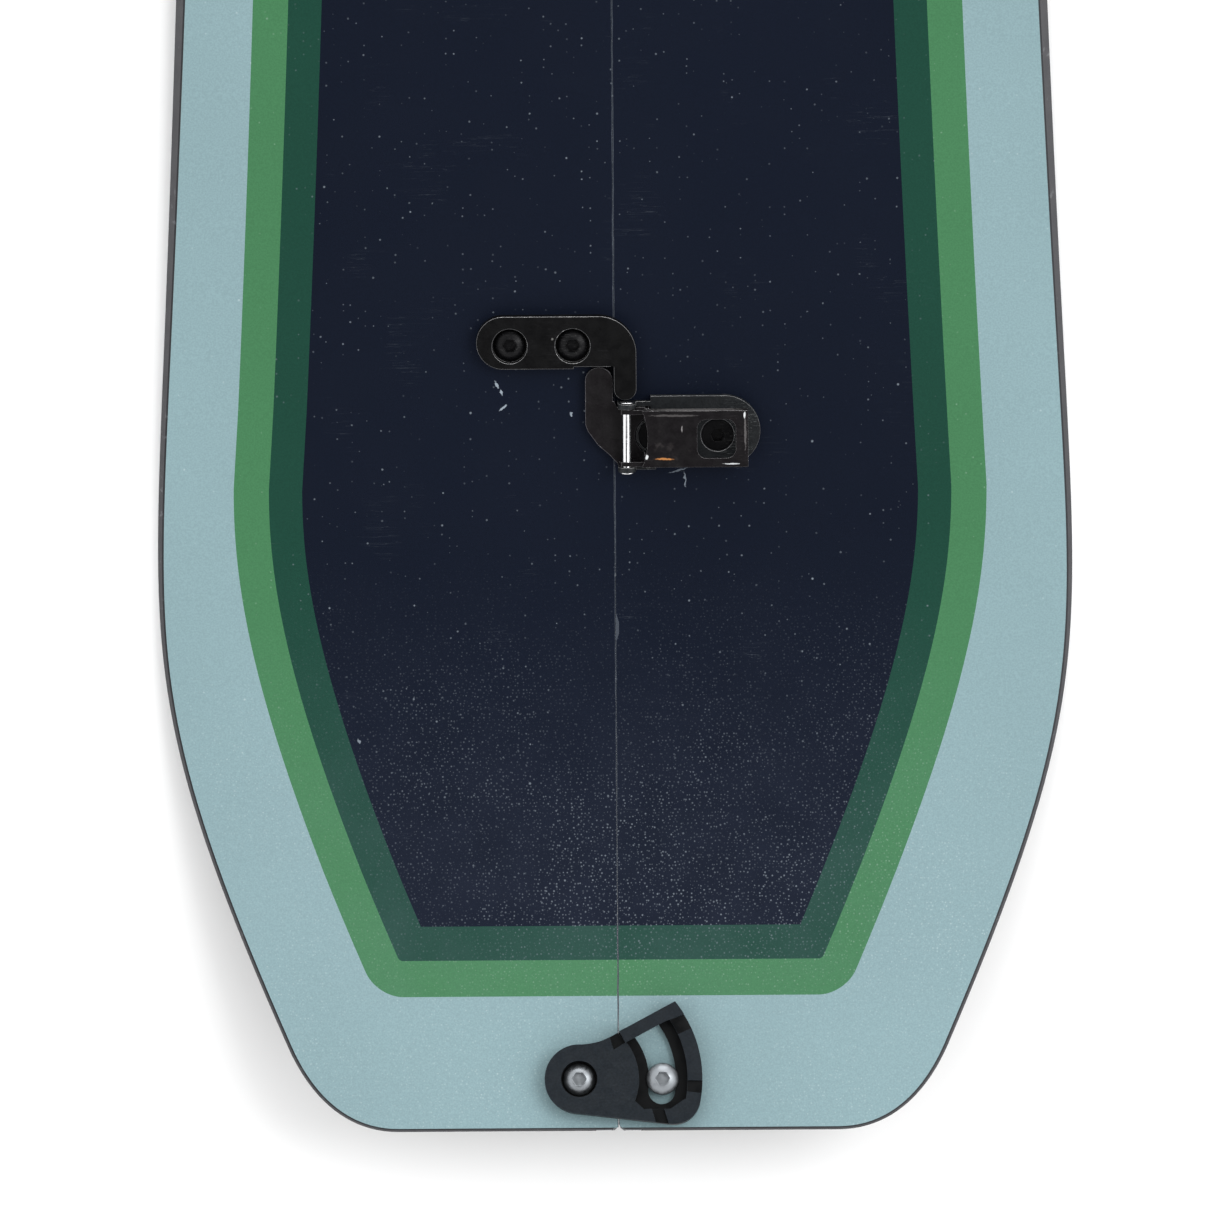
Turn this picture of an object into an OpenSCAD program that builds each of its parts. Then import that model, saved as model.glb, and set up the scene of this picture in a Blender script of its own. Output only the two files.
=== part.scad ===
// Splitboard: a snowboard that divides lengthwise into two skis.
// X runs across the board (the left ski is at negative X), Y runs from the tail to the nose
// and Z points up. The origin is on the floor under the middle of the board.

/* [Board] */
// Tail to nose, measured flat
board_length = 1580; // [1400:10:1700]
// Half of the width at the narrowest place
waist_half_width = 131; // [120:1:140]
// Half of the width at the widest place of the tail
tail_half_width = 145.6; // [140:0.2:150]
// Half of the width at the widest place of the nose
nose_half_width = 151.6; // [146:0.2:156]
// Radius of the sidecut
sidecut_radius = 10000; // [8000:100:12000]
// Distance of the narrowest place behind the middle
waist_setback = 50; // [20:5:80]
// Gap between the two skis along the seam
seam_gap = 0.4; // [0.2:0.1:1]

/* [Profile] */
// Height of the camber under the waist
camber_height = 5; // [0:0.5:8]
// Tail contact point, measured from the middle
tail_contact = -600; // [-620:5:-580]
// Nose contact point, measured from the middle
nose_contact = 560; // [540:5:580]
// Bending radius of the tail kick
tail_bend = 420; // [350:10:600]
// Bending radius of the nose kick
nose_bend = 380; // [350:10:600]

/* [Layers] */
// Height of the steel edge
edge_height = 1.9; // [1.6:0.1:2.2]
// Width of the steel edge
edge_width = 2; // [1.6:0.1:2.4]
// Thickness of the running base
base_thickness = 1.3; // [1:0.1:1.5]
// Thickness of the core at the tips
core_tip_thickness = 1.4; // [1.2:0.1:2]
// Thickness of the core under the feet
core_mid_thickness = 6.2; // [5:0.1:8]
// Thickness of the upper glass laminate
laminate_thickness = 0.6; // [0.4:0.1:0.8]
// Thickness of the topsheet
topsheet_thickness = 0.5; // [0.4:0.1:0.8]
// Width of the outer sidewall at its foot
sidewall_width = 9; // [7:0.5:11]
// Inward lean of the outer sidewall, in mm for each mm of height
sidewall_lean = 0.55; // [0.4:0.05:0.6]

/* [Binding inserts] */
// Distance between inserts, along and across the board
insert_pitch = 40; // [40:1:40]
// Rear foot, measured from the middle
rear_foot = -310; // [-330:5:-290]
// Front foot, measured from the middle
front_foot = 250; // [230:5:270]
// Distance of the inner insert row from the seam
insert_row = 45; // [40:1:50]

/* [Tip clips] */
// Distance of the clip's screws from the tail end
tail_clip_inset = 16.2; // [16:0.1:22]
// Distance of the clip's screws from the nose end
nose_clip_inset = 21; // [20:1:26]
// Distance between the pivot and the stud
clip_reach = 26.5; // [26:0.5:27]
// Height of the clip's body
clip_height = 5.5; // [5:0.1:6]

/* [Seam latches] */
// Rear latch, measured from the middle
rear_latch = -556; // [-560:1:-540]
// Front latch, measured from the middle
front_latch = 505; // [490:1:515]
// Distance between the two screws of a latch part
latch_screw_pitch = 20; // [20:1:20]
// Travel of the draw hook when its lever opens
hook_travel = 3; // [2:0.5:3]
// Angle by which the lever opens
lever_opening = 100; // [90:5:100]

/* [Hidden] */

$fn = 48;
end_y = board_length / 2;
seam = seam_gap / 2;
camber_middle = (tail_contact + nose_contact) / 2;
camber_half = (nose_contact - tail_contact) / 2;
contact_slope = 2 * camber_height / camber_half;
kick_length_tail = 110;
kick_length_nose = 150;
core_taper = 620;
spacer_length = 60;
inner_sidewall_width = 7;
inner_corner_r = 2.5;
layer_clearance = 0.08;
sidewall_clearance = 0.2;

// Places of the layers above the running surface
core_z = edge_height;
skin_thickness = laminate_thickness + topsheet_thickness;

// ---------- curves ----------
function bezier(p, t) = pow(1 - t, 3) * p[0] + 3 * pow(1 - t, 2) * t * p[1]
  + 3 * (1 - t) * t * t * p[2] + pow(t, 3) * p[3];
function steps(a, b, n) = [for (i = [0:n]) a + (b - a) * i / n];
function smooth(u) = u <= 0 ? 0 : u >= 1 ? 1 : u * u * (3 - 2 * u);

// Height that a kick adds at distance s past its contact point: bent at first, then straight
function kick(s, bend, bent) = let (b = min(s, bent))
  -contact_slope * b + b * b / (2 * bend) + max(0, s - bent) * (bent / bend - contact_slope);
// Lowest place of a kick, just past the contact point
function kick_floor(bend) = contact_slope * contact_slope * bend / 2;
contact_z = kick_floor(tail_bend);

// Height of the running surface
function bottom_z(y) =
  y < tail_contact ? contact_z + kick(tail_contact - y, tail_bend, kick_length_tail)
  : y > nose_contact ? contact_z + kick(y - nose_contact, nose_bend, kick_length_nose)
  : contact_z + camber_height * (1 - pow((y - camber_middle) / camber_half, 2));
function core_thickness(y) = core_tip_thickness
  + (core_mid_thickness - core_tip_thickness) * smooth((end_y - abs(y)) / core_taper);
function core_top(y) = core_z + core_thickness(y);
function top_z(y) = bottom_z(y) + core_top(y) + skin_thickness;
function top_slope(y) = atan((top_z(y + 2) - top_z(y - 2)) / 4);

// Stations along the board at which every layer bends
stations = concat(
  [-end_y, -end_y + 25, -end_y + 50],
  steps(tail_contact - kick_length_tail, tail_contact, 8),
  [for (i = [1:19]) tail_contact + 2 * camber_half * i / 20],
  steps(nose_contact, nose_contact + kick_length_nose, 10),
  [end_y - 50, end_y - 25, end_y]
);

// Outer outline of the right ski, from the tail end to the nose end, without the seam side.
// Each point is [x, y].
tail_corner = [[70, 0], [88, 0], [99, 12.7], [105.2, 26.5]];
tail_shoulder_end = 233;
nose_shoulder_start = 215;
function sidecut_x(y) = waist_half_width + pow(y + waist_setback, 2) / (2 * sidecut_radius);
tail_shoulder = [tail_corner[3], [tail_half_width + 2.7, 122.5], [tail_half_width + 2.4, 146],
  [sidecut_x(tail_shoulder_end - end_y), tail_shoulder_end]];
nose_outline = [[nose_half_width, nose_shoulder_start], [nose_half_width, 110], [85, 0], [0, 0]];
sidecut_nose_y = end_y - nose_shoulder_start - 70;

outline = concat(
  [for (t = steps(0, 1, 7)) bezier(tail_corner, t) + [0, -end_y]],
  [for (t = steps(1 / 10, 1, 9)) bezier(tail_shoulder, t) + [0, -end_y]],
  [for (y = steps(tail_shoulder_end - end_y + 60, sidecut_nose_y, 15)) [sidecut_x(y), y]],
  [for (t = steps(0, 16 / 18, 16)) let (p = bezier(nose_outline, t)) [p[0], end_y - p[1]]]
);
last = len(outline) - 1;
function along(i) = i == 0 ? [1, 0] : i == last ? outline[last] - outline[last - 1]
  : outline[i + 1] - outline[i - 1];
// Unit vector at outline point i that points into the board
function inward(i) = let (d = along(i)) [-d[1], d[0]] / norm(d);
function nose_y(x) = let (a = outline[last]) a[1] + (end_y - a[1]) * (1 - pow(x / a[0], 2));

// How far the leaning side has moved in at height h above the edge
function lean(h) = sidewall_lean * h;
function inset_outline(w) = [for (i = [0:last]) outline[i] + w * inward(i)];
// The outline at the level of the topsheet
function top_outline(extra) = [for (i = [0:last]) let (h = core_thickness(outline[i][1]) + skin_thickness)
  outline[i] + (lean(h) + extra) * inward(i)];
tip_lean = lean(core_tip_thickness + skin_thickness);

// Closed outline of one ski from an inset outer curve, the end insets and the inner line x
function closed(curve, x, w, r) = let (ye = end_y - w, x2 = nose_y(curve[last][0] * 0.5) - w) concat(
  [for (a = [180:15:270]) [x + r + r * cos(a), -ye + r + r * sin(a)]],
  curve,
  [[curve[last][0] * 0.5, x2]],
  [for (a = [90:15:180]) [x + r + r * cos(a), nose_y(x + r) - w - r + r * sin(a)]]
);
// Open ring between two curves that run from the tail end to the nose end
function ring(outer, w0, inner, w1, x) = concat(
  [[x, -end_y + w0]], outer, [[outer[last][0] * 0.5, nose_y(outer[last][0] * 0.5) - w0], [x, nose_y(x) - w0]],
  [[x, nose_y(x) - w1], [inner[last][0] * 0.5, nose_y(inner[last][0] * 0.5) - w1]],
  [for (i = [last:-1:0]) inner[i]], [[x, -end_y + w1]]
);

// ---------- placing ----------
module on_side(side) {
  if (side < 0) mirror([1, 0, 0]) children();
  else children();
}
// Puts a part on the topsheet at distance y, standing square to the surface
module on_top(y, turn = 0) {
  translate([0, y, top_z(y)]) rotate([top_slope(y), 0, 0]) rotate([0, 0, turn]) children();
}
// A band across the whole board whose lower and upper faces follow the profile
module band(lower, upper) {
  rotate([90, 0, 90]) linear_extrude(height = 2 * nose_half_width + 20, center = true)
    polygon(concat(lower, [for (i = [len(upper) - 1:-1:0]) upper[i]]));
}
function level(kind) = [for (y = stations) [y, bottom_z(y) + (
  kind == "bottom" ? 0 : kind == "base" ? base_thickness : kind == "edge" ? edge_height
  : kind == "core" ? core_top(y) : kind == "laminate" ? core_top(y) + laminate_thickness
  : core_top(y) + skin_thickness)]];
module layer(lower, upper, side, points) {
  on_side(side) intersection() {
    band(level(lower), level(upper));
    linear_extrude(height = 100) polygon(points);
  }
}

// ---------- inserts ----------
insert_r = 4;
insert_flange_r = 7;
insert_flange_height = 0.8;
insert_bore_r = 2.5;
insert_hole_gap = 0.05;
insert_recess = 0.2;
binding_places = [for (foot = [rear_foot, front_foot]) for (i = [-1.5:1:1.5]) for (row = [0, 1])
  [insert_row + row * insert_pitch, foot + i * insert_pitch]];
touring_places = concat([for (x = [0, 1]) for (y = [20, 60]) [insert_row + x * insert_pitch, y]],
  [for (y = [-130, -170]) [insert_row + insert_pitch / 2, y]]);
clip_pivot_x = 12.5;
clip_stud_x = clip_reach - clip_pivot_x;
fixed_hook_screw_x = 13.1;
fixed_hook_screw_y = 15.3;
latch_screw_x = 12.8;
latch_y = -13.9;
// Screw places on a ski, as [x, y] on the surface about each fitting's own middle
fixed_hook_places = [for (i = [0, 1]) [fixed_hook_screw_x + i * latch_screw_pitch, fixed_hook_screw_y]];
latch_places = [for (i = [0, 1]) [latch_screw_x + i * latch_screw_pitch, latch_y]];

module insert_body(height) {
  difference() {
    union() {
      cylinder(r = insert_flange_r, h = insert_flange_height);
      cylinder(r = insert_r, h = height);
    }
    translate([0, 0, 0.5]) cylinder(r = insert_bore_r, h = height);
  }
}
module insert_void(height) {
  translate([0, 0, -1]) cylinder(r = insert_flange_r + insert_hole_gap, h = insert_flange_height + 1.1);
  translate([0, 0, -1]) cylinder(r = insert_r + insert_hole_gap, h = height + 5);
}
// Upright inserts of the level middle of the board
module upright_inserts(places) {
  for (p = places) translate([p[0], p[1], bottom_z(p[1]) + core_z + layer_clearance])
    insert_body(core_thickness(p[1]) + skin_thickness - insert_recess - layer_clearance);
}
module upright_voids(places) {
  for (p = places) translate([p[0], p[1], bottom_z(p[1]) + core_z])
    insert_void(core_thickness(p[1]) + skin_thickness);
}
// Inserts under a fitting stand square to the topsheet, none deeper than the core is under its flange
function fitting_depth(y, turn, p) = let (there = y + (turn == 180 ? -1 : 1) * p[1])
  (core_thickness(there + (there < 0 ? -1 : 1) * insert_flange_r) + skin_thickness)
  * cos(top_slope(y)) - 0.12;
module fitting_inserts(y, turn, places) {
  on_top(y, turn) for (p = places) {
    depth = fitting_depth(y, turn, p);
    translate([p[0], p[1], -depth]) insert_body(depth - insert_recess);
  }
}
module fitting_voids(y, turn, places) {
  on_top(y, turn) for (p = places) {
    depth = fitting_depth(y, turn, p);
    translate([p[0], p[1], -depth]) insert_void(depth);
  }
}
function flip(places) = [for (p = places) [-p[0], p[1]]];
tail_clip_y = -end_y + tail_clip_inset;
nose_clip_y = end_y - nose_clip_inset;
module hardware(side, voids) {
  // The fittings at the nose are those of the tail turned half round
  sets = side > 0
    ? [[rear_latch, 0, latch_places], [tail_clip_y, 0, [[clip_stud_x, 0]]],
       [front_latch, 180, flip(fixed_hook_places)], [nose_clip_y, 180, [[-clip_pivot_x, 0]]]]
    : [[rear_latch, 0, flip(fixed_hook_places)], [tail_clip_y, 0, [[-clip_pivot_x, 0]]],
       [front_latch, 180, latch_places], [nose_clip_y, 180, [[clip_stud_x, 0]]]];
  for (s = sets) {
    if (voids) fitting_voids(s[0], s[1], s[2]);
    else fitting_inserts(s[0], s[1], s[2]);
  }
}
module all_voids(side) {
  on_side(side) {
    upright_voids(binding_places);
    upright_voids(touring_places);
  }
  hardware(side, true);
}

// ---------- board layers ----------
module base(side) {
  color("dimgray") layer("bottom", "base", side,
    closed(inset_outline(edge_width), seam + edge_width, edge_width, 0.5));
}
module lower_laminate(side) {
  color("ivory") layer("base", "edge", side,
    closed(inset_outline(edge_width), seam + edge_width, edge_width, 0.5));
}
module outer_edge(side) {
  color("silver") layer("bottom", "edge", side,
    ring(inset_outline(0), 0, inset_outline(edge_width), edge_width, seam + edge_width));
}
module inner_edge(side) {
  color("silver") layer("bottom", "edge", side, concat(
    [for (a = [180:15:270]) [seam + edge_width * (1 + cos(a)), -end_y + edge_width * (1 + sin(a))]],
    [for (a = [90:15:180]) [seam + edge_width * (1 + cos(a)), nose_y(seam) - edge_width * (1 - sin(a))]]));
}
core_inner_x = seam + inner_sidewall_width;
module core_block(side, from, to) {
  difference() {
    on_side(side) intersection() {
      band(level("edge"), level("core"));
      linear_extrude(height = 100)
        polygon(closed(inset_outline(sidewall_width), core_inner_x, sidewall_width, 0.5));
      translate([0, from, -1]) cube([400, to - from, 100]);
    }
    all_voids(side);
  }
}
module core(side) { color("burlywood") core_block(side, -end_y + spacer_length, end_y - spacer_length); }
module tail_spacer(side) { color("gainsboro") core_block(side, -end_y, -end_y + spacer_length); }
module nose_spacer(side) { color("gainsboro") core_block(side, end_y - spacer_length, end_y); }
module inner_sidewall(side) {
  r = inner_corner_r;
  ye = end_y - tip_lean / 2;
  color("black") difference() {
    layer("edge", "core", side, concat(
      [[core_inner_x, nose_y(core_inner_x) - tip_lean / 2], [core_inner_x, -ye]],
      [for (a = [270:-15:180]) [seam + r + r * cos(a), -ye + r + r * sin(a)]],
      [for (a = [180:-15:90]) [seam + r + r * cos(a), nose_y(seam) - tip_lean / 2 - r + r * sin(a)]]));
    all_voids(side);
  }
}
// The leaning outer sidewall, as one closed strip of four-cornered sections
module outer_sidewall(side) {
  function section(p, n, w) = let (y0 = p[1], q = p + w * n, t = p + lean(core_thickness(y0)) * n)
    [[p[0], y0, bottom_z(y0) + core_z + layer_clearance], [q[0], q[1], bottom_z(q[1]) + core_z + layer_clearance],
     [q[0], q[1], bottom_z(q[1]) + core_top(q[1]) - sidewall_clearance],
     [t[0], t[1], bottom_z(t[1]) + core_top(t[1]) - sidewall_clearance]];
  w = sidewall_width;
  xm = outline[last][0] * 0.5;
  sections = concat(
    [section([core_inner_x, -end_y], [0, 1], w)],
    [for (i = [0:last]) section(outline[i], inward(i), w)],
    [section([xm, nose_y(xm)], [0, -1], w), section([core_inner_x, nose_y(core_inner_x)], [0, -1], w)]);
  n = len(sections) - 1;
  color("black") on_side(side) polyhedron(
    points = [for (s = sections) for (p = s) p],
    faces = concat([[3, 2, 1, 0]], [[4 * n, 4 * n + 1, 4 * n + 2, 4 * n + 3]],
      [for (i = [0:n - 1]) for (k = [0:3]) let (a = 4 * i + k, b = 4 * i + (k + 1) % 4)
        each [[a, b, b + 4], [a, b + 4, a + 4]]]));
}
module upper_laminate(side) {
  color("ivory") difference() {
    layer("core", "laminate", side, closed(top_outline(0), seam, tip_lean, inner_corner_r));
    all_voids(side);
  }
}
module topsheet(side) {
  color("lightblue") difference() {
    layer("laminate", "top", side, closed(top_outline(0), seam, tip_lean, inner_corner_r));
    all_voids(side);
  }
}
module binding_inserts(side) { color("silver") on_side(side) upright_inserts(binding_places); }
module touring_inserts(side) { color("silver") on_side(side) upright_inserts(touring_places); }
module hardware_inserts(side) { color("silver") hardware(side, false); }

// ---------- tip clips ----------
// About the pivot, on the topsheet: x to the stud, y to the middle of the board, z up
clip_rim_r = 39.2;
clip_body_r = 11;
clip_gap = 0.3;
lip_top = 1.9;
bushing_height = 2.1;
head_r = 5.1;
head_height = 3.1;
shank_r = 2.45;
pocket_r = [19, 34.5];
slot_half = 4.3;
slot_end_angle = -8;
bar_z = clip_height + 0.1;
bar_thickness = 1.5;
arm_foot = [12.8, 15];
arm_tip = [30.5, 24.4];
corner_r = 8.6;
clip_foot_slope = -6.8;
corner_a = asin((corner_r - clip_body_r) / (clip_rim_r - corner_r)) + clip_foot_slope;
corner_centre = (clip_rim_r - corner_r) * [cos(corner_a), sin(corner_a)];

function turned(r, a) = r * [cos(a), sin(a)];
module sector(a0, a1, r) { polygon(concat([[0, 0]], [for (a = steps(a0, a1, 12)) turned(r, a)])); }
module clip_blank() {
  foot = turned(1, clip_foot_slope - 90);
  circle(r = clip_body_r);
  translate(corner_centre) circle(r = corner_r);
  intersection() {
    circle(r = clip_rim_r, $fn = 96);
    polygon(concat(
      [for (t = steps(0, 1, 8)) bezier([[-1.5, clip_body_r - 0.1], [6, clip_body_r], [8, 12.2], arm_foot], t)],
      [arm_tip, turned(60, atan2(arm_tip[1], arm_tip[0])), [60, 0], turned(60, corner_a), corner_centre,
       corner_centre + corner_r * foot, clip_body_r * foot, [-6, 0]]));
  }
}
module clip_pocket() {
  intersection() {
    difference() {
      circle(r = pocket_r[1], $fn = 96);
      circle(r = pocket_r[0], $fn = 96);
    }
    polygon([[17, -6.4], [20.4, -9.7], [29, -9.7], [33.5, -6.6], [60, -6.6], [60, 90], [-5, 90], [8, 9]]);
  }
}
module clip_slot() {
  polygon(concat(
    [for (a = steps(slot_end_angle, 80, 22)) turned(clip_reach + slot_half, a)],
    [for (a = steps(80, slot_end_angle, 22)) turned(clip_reach - slot_half, a)],
    [for (a = [195:15:345]) turned(clip_reach, slot_end_angle) + turned(slot_half, a + slot_end_angle)]));
}
// Shallow steps in the rim, and the step beside the bar's foot
module clip_steps() {
  difference() {
    union() {
      sector(24, 33, 60);
      sector(-7, -1, 60);
    }
    circle(r = pocket_r[1] - 1);
  }
  polygon([[22.8, -9], [26.8, -9], [29.2, -17], [25.2, -17]]);
  polygon([[9, 15.5], [12, 15.5], [15.8, 12.2], [11, 9.2]]);
}
module clip_bar() {
  intersection() {
    circle(r = clip_rim_r, $fn = 96);
    polygon([arm_foot, arm_tip, [35, 35], [42, 26.2], [33, 20.2], [27.2, 18], [14.8, 11.4]]);
  }
}
module tip_clip() {
  color("darkslategray") difference() {
    union() {
      difference() {
        translate([0, 0, clip_gap]) linear_extrude(height = clip_height - clip_gap) clip_blank();
        translate([0, 0, lip_top]) linear_extrude(height = 10) clip_pocket();
        translate([0, 0, -1]) linear_extrude(height = 10) clip_slot();
        translate([0, 0, clip_height - 1.1]) linear_extrude(height = 10) clip_steps();
      }
      translate([0, 0, bar_z]) linear_extrude(height = bar_thickness) clip_bar();
      // Feet of the bar, on the body and on the rim
      intersection() {
        translate([0, 0, lip_top]) linear_extrude(height = bar_z - lip_top + 0.5) clip_bar();
        difference() {
          cylinder(r = clip_rim_r, h = 20, $fn = 96);
          translate([0, 0, -1]) cylinder(r = pocket_r[1], h = 30, $fn = 96);
        }
      }
      intersection() {
        translate([0, 0, lip_top]) linear_extrude(height = bar_z - lip_top + 0.5) clip_bar();
        cylinder(r = pocket_r[0], h = 20, $fn = 96);
      }
    }
    translate([0, 0, -1]) cylinder(r = 4.05, h = 10);
    translate([0, 0, bushing_height - 0.1]) cylinder(r = 5.8, h = 10);
  }
}
module bushing() {
  color("silver") difference() {
    cylinder(r = 4, h = bushing_height);
    translate([0, 0, -1]) cylinder(r = 2.7, h = 10);
  }
}
// Round-headed screw whose head sits at height z and whose shank reaches down by depth
module button_screw(z, depth, r, height) {
  rise = height - 0.8;
  dome_r = (r * r + rise * rise) / (2 * rise);
  difference() {
    union() {
      translate([0, 0, z]) intersection() {
        cylinder(r = r, h = height);
        translate([0, 0, height - dome_r]) sphere(r = dome_r);
      }
      translate([0, 0, -depth]) cylinder(r = shank_r, h = depth + z + 0.5);
    }
    translate([0, 0, z + height - 1.9]) cylinder(r = 2.31, h = 5, $fn = 6);
  }
}
function screw_depth(y) = core_thickness(y) + skin_thickness - 1;
module on_tail_clip(x) { on_top(tail_clip_y) translate([x, 0, 0]) children(); }
module on_nose_clip(x) { on_top(nose_clip_y, 180) translate([x, 0, 0]) children(); }

// ---------- seam latches ----------
// About the middle of the latch, on the topsheet: the fixed hook is on the negative x side
hook_gap = 0.3;
hook_plate = 4.4;
hook_width = 16.9;
hook_body_y = 16.35;
finger = [0, 7.1];
finger_tip = -2.2;
draw_plate = 2.5;
draw_finger = [-9.2, -0.4];
draw_tip = 8.1;
draw_half = 9.1;
lip_x = 9.6;
lip_thickness = 1.5;
lip_height = 5.7;
base_plate = 3;
base_y = -12.5;
base_half = 11.3;
base_end_x = 35.1;
boss_r = 5.9;
prong_gap_r = 6.2;
pin_x = 4;
pin_z = 6.7;
pin_r = 1.4;
eye_r = 2.9;
ear = [9.4, 11];
lever_half = 9.1;
lever_wall = 1.4;
lever_top = 10;
lever_end = 42.5;

module fixed_hook() {
  body_r = hook_width / 2;
  low_y = hook_body_y - body_r;
  color("dimgray") difference() {
    translate([0, 0, 0.02]) linear_extrude(height = hook_plate) {
      translate([-43.7 + body_r, hook_body_y]) circle(r = body_r);
      translate([-43.7 + body_r, low_y]) square([43.7 - body_r - 4.9, hook_width]);
      intersection() {
        translate([-4.9, hook_body_y + body_r - 12]) circle(r = 12);
        translate([-4.9, low_y]) square([20, hook_width]);
      }
      translate([-4.9, low_y]) square([4.9 + finger[1], hook_body_y + body_r - 12 - low_y]);
      translate([finger[0], finger_tip + 3.55]) square([finger[1] - finger[0], low_y - finger_tip]);
      translate([finger[0] + 3.55, finger_tip + 3.55]) circle(r = 3.55);
    }
    // Room over the other ski, and for the tip of the draw hook as it slides
    translate([-0.8, -10, -1]) cube([20, 50, 1 + hook_gap]);
    translate([draw_finger[0] - hook_travel - 0.6, 0, -1])
      cube([finger[0] - draw_finger[0] + hook_travel + 0.6, draw_tip + 0.5, 10]);
    for (p = flip(fixed_hook_places)) translate([p[0], p[1], 0]) {
      translate([0, 0, -1]) cylinder(r = 3.2, h = 10);
      translate([0, 0, 1.6]) cylinder(r = 5.6, h = 10);
    }
  }
}
module fixed_hook_screws(y) {
  color("dimgray") for (p = flip(fixed_hook_places)) translate([p[0], p[1], 0])
    button_screw(1.62, screw_depth(y), 4.9, 2.5);
}
module latch_base() {
  ear_middle = (ear[0] + ear[1]) / 2;
  ear_width = ear[1] - ear[0];
  color("dimgray") difference() {
    union() {
      translate([lip_x + lip_thickness + 0.5, base_y - base_half, 0.02])
        cube([base_end_x - lip_x - lip_thickness - 0.5, 2 * base_half, base_plate]);
      translate([base_end_x, base_y, 0.02]) cylinder(r = base_half, h = base_plate);
      translate([latch_screw_x, latch_y, 0.02]) cylinder(r = boss_r, h = base_plate);
      for (s = [-1, 1]) translate([0, latch_y + s * ear_middle - ear_width / 2, 0]) {
        translate([pin_x - eye_r, 0, 0.5]) cube([12, ear_width, base_plate - 0.48]);
        translate([pin_x - eye_r, 0, 0.5]) cube([2 * eye_r, ear_width, pin_z - 0.5]);
        translate([pin_x, ear_width, pin_z]) rotate([90, 0, 0]) cylinder(r = eye_r, h = ear_width);
      }
    }
    translate([pin_x, latch_y, pin_z]) rotate([90, 0, 0]) cylinder(r = pin_r + 0.02, h = 40, center = true);
    for (p = latch_places) translate([p[0], p[1], 0]) {
      translate([0, 0, -1]) cylinder(r = 3.2, h = 10);
      translate([0, 0, 0.5]) cylinder(r1 = 3.2, r2 = 5.5, h = 2.7);
    }
  }
}
module latch_screws(y) {
  color("dimgray") for (p = latch_places) translate([p[0], p[1], 0]) difference() {
    union() {
      translate([0, 0, 0.5]) cylinder(r1 = 2.8, r2 = 5, h = 2.4);
      translate([0, 0, -screw_depth(y)]) cylinder(r = shank_r, h = screw_depth(y) + 1);
    }
    translate([0, 0, 1.3]) cylinder(r = 2.31, h = 5, $fn = 6);
  }
}
module latch_pin() {
  color("silver") translate([pin_x, latch_y, pin_z]) rotate([90, 0, 0]) {
    cylinder(r = pin_r, h = 2 * ear[1] + 0.4, center = true);
    for (s = [-1, 1]) translate([0, 0, s * (ear[1] + 0.3)]) cylinder(r = 2.2, h = 0.5, center = true);
  }
}
// Flat hook that the lever's cams draw away from the seam. Its two prongs pass the inner screw.
module draw_hook() {
  tip_r = (draw_finger[1] - draw_finger[0]) / 2;
  low = latch_y - draw_half;
  high = latch_y + draw_half;
  prong_end = lip_x + lip_thickness;
  color("dimgray") difference() {
    union() {
      translate([0, 0, hook_gap]) linear_extrude(height = draw_plate) {
        translate([draw_finger[0] + tip_r, draw_tip - tip_r]) circle(r = tip_r);
        polygon([[draw_finger[1], draw_tip - tip_r], [draw_finger[0], draw_tip - tip_r],
          [draw_finger[0], -10.4], [-8.4, -12.6], [-5.2, -17], [-1.6, -20.2], [1, low], [prong_end, low],
          [prong_end, high], [0.9, high], [0, -2.9], [draw_finger[1], -2.9]]);
      }
      translate([lip_x, low, hook_gap]) cube([lip_thickness, 2 * draw_half, lip_height - hook_gap]);
    }
    translate([latch_screw_x, latch_y, -1]) cylinder(r = prong_gap_r, h = 20);
    translate([latch_screw_x, latch_y - prong_gap_r, -1]) cube([20, 2 * prong_gap_r, 20]);
  }
}
// Edge of the cam about the pin: it follows the lip's upper corner as the lever opens
cam = [for (a = [0:10:lever_opening]) let (v = [lip_x - pin_x - hook_travel * a / lever_opening,
  lip_height - pin_z]) (norm(v) - 0.2) * [cos(atan2(v[1], v[0]) - a), sin(atan2(v[1], v[0]) - a)]];
module lever_side() {
  reach = lever_end - pin_x;
  high = lever_top - pin_z;
  difference() {
    union() {
      circle(r = eye_r - 0.4);
      polygon(concat([[-1.5, 2.4], [5.3, high], [reach, high], [reach, -0.7], [lip_x - pin_x + 0.2, -0.7]],
        cam, [[-1, -2]]));
    }
    circle(r = pin_r + 0.05);
  }
}
module latch_lever() {
  color("gray") difference() {
    union() {
      for (s = [-1, 1]) translate([pin_x, latch_y + s * (lever_half - lever_wall / 2) + lever_wall / 2, pin_z])
        rotate([90, 0, 0]) linear_extrude(height = lever_wall) lever_side();
      translate([9.3, latch_y - lever_half, lever_top - lever_wall])
        cube([lever_end - 9.3, 2 * lever_half, lever_wall]);
      translate([lever_end - lever_wall, latch_y - lever_half, pin_z - 0.7])
        cube([lever_wall, 2 * lever_half, lever_top - pin_z + 0.7]);
    }
    translate([-14.3, latch_y, pin_z + 1.8]) cylinder(r = 24.9, h = 10, $fn = 96);
    // Window over the outer screw
    translate([26.3 + 3, latch_y - 6.3 + 3, 5]) linear_extrude(height = 10) union() {
      square([6.3, 6.6]);
      translate([-3, 0]) square([12.3, 6.6]);
      translate([0, -3]) square([6.3, 12.6]);
      for (x = [0, 6.3]) for (y = [0, 6.6]) translate([x, y]) circle(r = 3);
    }
  }
}

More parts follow.
